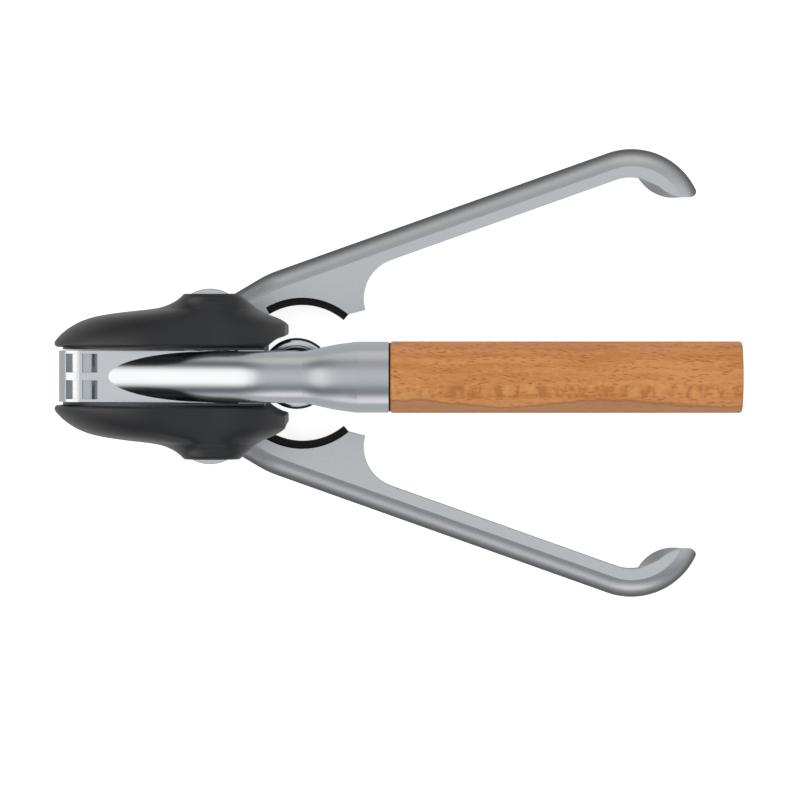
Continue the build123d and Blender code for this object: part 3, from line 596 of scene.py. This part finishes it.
# %% Beech: long grain
SWAY_PER_MM = (0.06, 0.05)
SWAY_MM = 4.0
GRAIN_PER_MM = (0.03, 0.50)
GRAIN_SPREAD = (0.30, 0.70)
WOOD_DEEP = (0.68, 0.262, 0.074, 1)
WOOD_PALE = (0.84, 0.362, 0.128, 1)

sway = minus(tree, wood_noise(SWAY_PER_MM, detail=2.0, layer=3.0), 0.5)
swayed = plus(tree, round_mm, times(tree, sway, SWAY_MM))
grain = wood_noise(GRAIN_PER_MM, detail=4.0, layer=0.0, around=swayed)
tone = blend_colours(tree, fade(tree, grain, *GRAIN_SPREAD), WOOD_DEEP, WOOD_PALE)
print("grain sways by at most", SWAY_MM / 2, "mm to each side")

# %% [markdown]
# ## Beech: dashes
# Beech is strewn with short dark dashes, which are its cut rays and pores. They lie slightly askew
# to the handle. They could be drawn one by one, but there are hundreds, so they are the peaks of a
# stretched noise, cut off just above its middle. A second noise makes them stronger in some places
# than in others, and paler dashes lie between them.

# %% Beech: dashes
DASH_SLANT = 0.09
DASH_PER_MM = (0.46, 2.4)
DASH_PEAKS = (0.565, 0.66)
DASH_STRENGTH = 0.72
DASH_TONE = (0.38, 0.095, 0.028, 1)
CROWD_PER_MM = (0.10, 0.35)
CROWD_SPREAD = (0.35, 0.60)
CROWD_LEAST = 0.45
PALE_PER_MM = (0.40, 2.2)
PALE_PEAKS = (0.57, 0.70)
PALE_STRENGTH = 0.40
PALE_TONE = (0.92, 0.49, 0.20, 1)

slanted = plus(tree, swayed, times(tree, along_mm, DASH_SLANT))
dashes = fade(tree, wood_noise(DASH_PER_MM, detail=1.5, layer=9.0, around=slanted), *DASH_PEAKS)
crowd = fade(tree, wood_noise(CROWD_PER_MM, detail=1.0, layer=5.0), *CROWD_SPREAD, CROWD_LEAST, 1.0)
pale_dashes = fade(tree, wood_noise(PALE_PER_MM, detail=1.5, layer=21.0, around=slanted), *PALE_PEAKS)
tone = lay_over(tone, times(tree, dashes, crowd), DASH_STRENGTH, DASH_TONE)
tone = lay_over(tone, pale_dashes, PALE_STRENGTH, PALE_TONE)
print("dashes slant by", round(math.degrees(math.atan(DASH_SLANT)), 1), "degrees")

# %% [markdown]
# ## Beech: ray flecks
# A little below the middle of the handle, as the picture shows it, the wood was cut along its
# rays. There a band of soft bars stands across the grain, some darker and some paler. One noise
# gives both: its peaks become the dark bars and its hollows the pale ones, and a mask keeps them
# inside the band.

# %% Beech: ray flecks
BAND_LOWER_EDGE_MM = (-7.0, -6.0)
BAND_UPPER_EDGE_MM = (-1.8, -3.0)
RAY_PER_MM = (0.46, 0.14)
RAY_PEAKS = (0.52, 0.64)
RAY_DARK_STRENGTH = 0.60
RAY_DARK = (0.48, 0.175, 0.045, 1)
RAY_HOLLOWS = (0.48, 0.36)
RAY_PALE_STRENGTH = 0.55
RAY_PALE = (0.86, 0.44, 0.15, 1)

ray_band = times(tree, fade(tree, round_mm, *BAND_LOWER_EDGE_MM), fade(tree, round_mm, *BAND_UPPER_EDGE_MM))
ray_bars = wood_noise(RAY_PER_MM, detail=2.0, layer=31.0)
tone = lay_over(tone, ray_band, fade(tree, ray_bars, *RAY_PEAKS, 0.0, RAY_DARK_STRENGTH), RAY_DARK)
tone = lay_over(tone, ray_band, fade(tree, ray_bars, *RAY_HOLLOWS, 0.0, RAY_PALE_STRENGTH), RAY_PALE)
print("ray band", round(BAND_UPPER_EDGE_MM[1] - BAND_LOWER_EDGE_MM[1], 1), "mm wide")

# %% [markdown]
# ## Beech: painted shade on the lower side
# Under the ray flecks, on the side turned from the light, a wavy line parts the orange wood from
# painted shade, greyer and pinkish, with a thin painted dark line between them. The line is a long,
# even wave along the handle with a little noise on it. The painted shade fades out again towards
# the back, so the other side is plain.

# %% Beech: painted shade on the lower side
EDGE_CREST_MM = 34.0
EDGE_WAVE_MM = 64.0
EDGE_SWING_MM = 1.5
JITTER_PER_MM = (0.16, 0.02)
JITTER_SPREAD = (0.2, 0.8)
JITTER_MM = 0.6
LOWER_SHADE_STARTS_MM = (-8.2, -9.8)
LOWER_SHADE_ENDS_MM = (-24.0, -19.0)
LOWER_SHADE_STRENGTH = 0.62
LOWER_SHADE_TONE = (0.50, 0.255, 0.118, 1)
SHADE_LINE_LOWER_EDGE_MM = (-9.9, -9.1)
SHADE_LINE_UPPER_EDGE_MM = (-8.3, -9.0)
SHADE_LINE_STRENGTH = 0.50
SHADE_LINE_TONE = (0.36, 0.13, 0.06, 1)

turn = times(tree, minus(tree, along_mm, EDGE_CREST_MM), 2 * math.pi / EDGE_WAVE_MM)
wave = times(tree, calculate(tree, "COSINE", turn), EDGE_SWING_MM)
jitter = wood_noise(JITTER_PER_MM, detail=3.0, layer=41.0)
jitter = fade(tree, jitter, *JITTER_SPREAD, -JITTER_MM, JITTER_MM)
edge_mm = plus(tree, minus(tree, round_mm, wave), jitter)
# Painted shade on the lower side of the handle, with a thin painted dark line along its edge.
painted_lower_shade = times(tree, fade(tree, edge_mm, *LOWER_SHADE_STARTS_MM), fade(tree, edge_mm, *LOWER_SHADE_ENDS_MM))
painted_shade_line = times(tree, fade(tree, edge_mm, *SHADE_LINE_LOWER_EDGE_MM), fade(tree, edge_mm, *SHADE_LINE_UPPER_EDGE_MM))
tone = lay_over(tone, painted_lower_shade, LOWER_SHADE_STRENGTH, LOWER_SHADE_TONE)
tone = lay_over(tone, painted_shade_line, SHADE_LINE_STRENGTH, SHADE_LINE_TONE)
print("edge waves every", EDGE_WAVE_MM, "mm")

# %% [markdown]
# ## Beech: sawn ends
# On its two ends the grain can't run along the handle. They show arcs of the growth rings, round a
# pith that lay well outside the handle, and fine open pores. The rings are one noise that reads
# the distance from that pith.

# %% Beech: sawn ends
PITH_MM = (26.0, 9.0)
RINGS_PER_MM = 1.4
RING_DRIFT = 0.04
RING_SCALE = 0.8
RING_SPREAD = (0.38, 0.62)
END_DEEP = (0.46, 0.175, 0.055, 1)
END_PALE = (0.62, 0.26, 0.088, 1)
PORES_PER_MM = 3.2
PORE_PEAKS = (0.56, 0.68)
PORE_STRENGTH = 0.6
PORE_TONE = (0.26, 0.085, 0.03, 1)

across_mm = times(tree, across, 1 / MM)
above_mm = times(tree, above, 1 / MM)
squares = [calculate(tree, "POWER", plus(tree, coordinate, distance), 2)
           for coordinate, distance in zip((across_mm, above_mm), PITH_MM)]
from_pith = calculate(tree, "SQRT", plus(tree, *squares))
rings = noise_at((times(tree, from_pith, RINGS_PER_MM), times(tree, above_mm, RING_DRIFT)), RING_SCALE, 2.0)
pores = fade(tree, noise_at((across_mm, above_mm), PORES_PER_MM, 2.0), *PORE_PEAKS, 0.0, PORE_STRENGTH)
sawn = blend_colours(tree, fade(tree, rings, *RING_SPREAD), END_DEEP, END_PALE)
sawn = blend_colours(tree, pores, sawn, PORE_TONE)
print("pith", round(math.hypot(*PITH_MM), 1), "mm from the handle's axis")

# %% [markdown]
# ## Beech: put together
# A mask on the direction that the surface faces decides whether the flat map or the sawn pattern
# shows. It reads the piece's own direction and not the world's, so the ends keep their rings when
# the lever swings up. Oil leaves the wood matt with a faint sheen, a little duller in the pale
# streaks. The dark dashes are open, so the mask that colours them also sinks them a little.

# %% Beech: put together
END_FACING = (0.70, 0.92)
OILED_SPREAD = (0.2, 0.8)
OILED_ROUGHNESS = (0.50, 0.62)
OILED_SHINE = 0.35
DASH_DEPTH = 0.04 * MM
DASH_BUMP = 0.25

facing = add_node(tree, "ShaderNodeSeparateXYZ")
tree.links.new(add_node(tree, "ShaderNodeTexCoord").outputs["Normal"], facing.inputs[0])
at_end = fade(tree, calculate(tree, "ABSOLUTE", facing.outputs["X"]), *END_FACING)
lift = add_node(tree, "ShaderNodeBump")
lift.inputs["Strength"].default_value = DASH_BUMP
lift.inputs["Distance"].default_value = DASH_DEPTH
feed(tree, lift.inputs["Height"], minus(tree, 1.0, dashes))
feed(tree, shader.inputs["Base Color"], blend_colours(tree, at_end, tone, sawn))
feed(tree, shader.inputs["Roughness"], fade(tree, grain, *OILED_SPREAD, *OILED_ROUGHNESS))
feed(tree, shader.inputs["Normal"], lift.outputs["Normal"])
shader.inputs["Specular IOR Level"].default_value = OILED_SHINE
print("finish", beech.name, "with", len(tree.nodes), "nodes")

# %% [markdown]
# ## Give every frame piece its finish
# The imported record says what each piece is made of, by the name of a material slot, so most pieces
# find their finish by that name. A few look different from the rest of their material, and they
# have their own: the side plates painted dark with the shade of their slot, the arms with their
# painted dark edges, and the turned ring with its painted dark steps.

# %% Give every frame piece its finish
FINISHES = {"cast_metal": cast_metal, "steel": steel, "polished": cap_metal,
            "black_plastic": black_plastic, "black_rubber": black_rubber, "beech": beech,
            "bronze": bronze}
OWN_FINISHES = {"side_plate_right": slot_shade_steel, "side_plate_left": slot_shade_steel,
                "arm_right": arm_metal, "arm_left": arm_metal, "nut_ring": ring_metal}

for part in frame["record"]["subparts"]:
    finish = OWN_FINISHES.get(part["node"], FINISHES[part["material_slot"]])
    for slot in nodes[part["node"]].material_slots:
        slot.material = finish
print("finished", len(nodes), "frame pieces")

# %% [markdown]
# ## Painted shade in the gap behind the handle
# Between the ferrule and the wood the gap lies in shade, and a thin dark disc stands in for that
# shade. From above it is only a fine dark line, but without it the gap would show daylight. It is
# a short round disc with softened rims, a little longer than the gap, so it touches the metal and
# the wood. It swings with the lever.

# %% Painted shade in the gap behind the handle
ROUND_POINTS = 96
GAP_SHADE_INSET = 0.45 * MM
GAP_SHADE_OVERLAP = 0.2 * MM
GAP_SHADE_RIM = 0.1 * MM
GAP_SHADE_RIM_STEPS = 2


def settle(piece, name, body, material):
    """Names a finished piece, gives it its finish and lets it ride on a body."""
    bpy.ops.object.select_all(action="DESELECT")
    piece.select_set(True)
    bpy.context.view_layer.objects.active = piece
    bpy.ops.object.transform_apply(location=True, rotation=True, scale=True)
    piece.name = name
    piece.data.materials.clear()
    piece.data.materials.append(material)
    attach(piece, body)
    bpy.ops.object.select_all(action="DESELECT")
    print(name, "rides on", body, "with", len(piece.data.polygons), "faces")


ferrule_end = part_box("lever_casting")[1][0]
wood_start = handle_low[0]
# A dark disc stands in for the shade in the gap between ferrule and wood.
bpy.ops.mesh.primitive_cylinder_add(vertices=ROUND_POINTS, radius=HANDLE_R - GAP_SHADE_INSET,
                                    depth=wood_start - ferrule_end + GAP_SHADE_OVERLAP,
                                    location=((ferrule_end + wood_start) / 2, 0, HANDLE_AXIS_Z),
                                    rotation=(0, math.pi / 2, 0))
gap_shade_disc = bpy.context.object
soften = gap_shade_disc.modifiers.new("soft_rim", "BEVEL")
soften.width = GAP_SHADE_RIM
soften.segments = GAP_SHADE_RIM_STEPS
bpy.ops.object.modifier_apply(modifier=soften.name)
settle(gap_shade_disc, "handle_gap_shade_disc", "lever", black_rubber)

# %% [markdown]
# ## Lever bar: its line
# Behind the handle the casting's bar runs level, bends down and sinks into the ribbed end. Here it
# gets a finer skin with the photograph's slope. Its line is a level run, a bend of one radius and
# a straight run, so it is fixed by the corner where the two runs would meet. That corner lies a
# hair below the handle's axis, and both ends of the skin are sunk in the casting, so it comes out
# of the metal without a step.

# %% Lever bar: its line
BAR_SLOPE = math.radians(24.8)
BAR_BEND_R = 25 * MM
BAR_CORNER_X = -9 * MM
BAR_SUNK = 0.12 * MM
BAR_FRONT_X = 3 * MM
BAR_FOOT_X = -57.5 * MM

bar_corner = Vector((BAR_CORNER_X, 0, HANDLE_AXIS_Z - BAR_SUNK))
bend_start = bar_corner + Vector((BAR_BEND_R * math.tan(BAR_SLOPE / 2), 0, 0))
bend_centre = bend_start - Vector((0, 0, BAR_BEND_R))
bend_end_x = bend_centre.x - BAR_BEND_R * math.sin(BAR_SLOPE)
level_run = bend_start.x - BAR_FRONT_X
downhill = Vector((-math.cos(BAR_SLOPE), 0, -math.sin(BAR_SLOPE)))
sloped_run = (bend_end_x - BAR_FOOT_X) / math.cos(BAR_SLOPE)
print("bar runs", round(-level_run / MM, 1), "mm level and", round(sloped_run / MM, 1), "mm down")

# %% [markdown]
# ## Lever bar: its form
# The bar starts as a single oval face. It is pushed back along the level run, spun down round the
# bend and pushed on along the slope. A curve with a bevel could do the same, but a face that is
# moved along keeps its section exact. Only the upper part is kept, because a whole bar would meet
# the bridge of the guide rods under it, so a straight cut takes the lower part away.

# %% Lever bar: its form
BAR_HALF_W = 7.98 * MM
BAR_HALF_H = 7.5 * MM
BAR_BEND_STEPS = 16
BAR_KEPT_BELOW_AXIS = 2 * MM
SAME_POINT = 0.001 * MM
SMOOTH_UP_TO = math.radians(30)

bpy.ops.mesh.primitive_circle_add(vertices=ROUND_POINTS, radius=1, fill_type="NGON",
                                  location=(BAR_FRONT_X, 0, bar_corner.z), rotation=(0, math.pi / 2, 0))
bar = bpy.context.object
bar.scale = (BAR_HALF_H, BAR_HALF_W, 1)
bpy.ops.object.transform_apply(location=True, rotation=True, scale=True)
bpy.ops.object.mode_set(mode="EDIT")
bpy.ops.mesh.select_all(action="SELECT")
bpy.ops.mesh.extrude_region_move(TRANSFORM_OT_translate={"value": (level_run, 0, 0)})
bpy.ops.mesh.spin(steps=BAR_BEND_STEPS, angle=BAR_SLOPE, center=bend_centre, axis=(0, 1, 0))
bpy.ops.mesh.extrude_region_move(TRANSFORM_OT_translate={"value": downhill * sloped_run})
bpy.ops.mesh.select_all(action="SELECT")
bpy.ops.mesh.remove_doubles(threshold=SAME_POINT)
bar_up = Vector((-math.sin(BAR_SLOPE), 0, math.cos(BAR_SLOPE)))
bpy.ops.mesh.select_all(action="SELECT")
bpy.ops.mesh.bisect(plane_co=bar_corner - bar_up * BAR_KEPT_BELOW_AXIS, plane_no=bar_up,
                    clear_inner=True, use_fill=True)
bpy.ops.mesh.select_all(action="SELECT")
bpy.ops.mesh.normals_make_consistent(inside=False)
bpy.ops.object.mode_set(mode="OBJECT")
bpy.ops.object.shade_smooth_by_angle(angle=SMOOTH_UP_TO)
settle(bar, "lever_bar_skin", "lever", cast_metal)
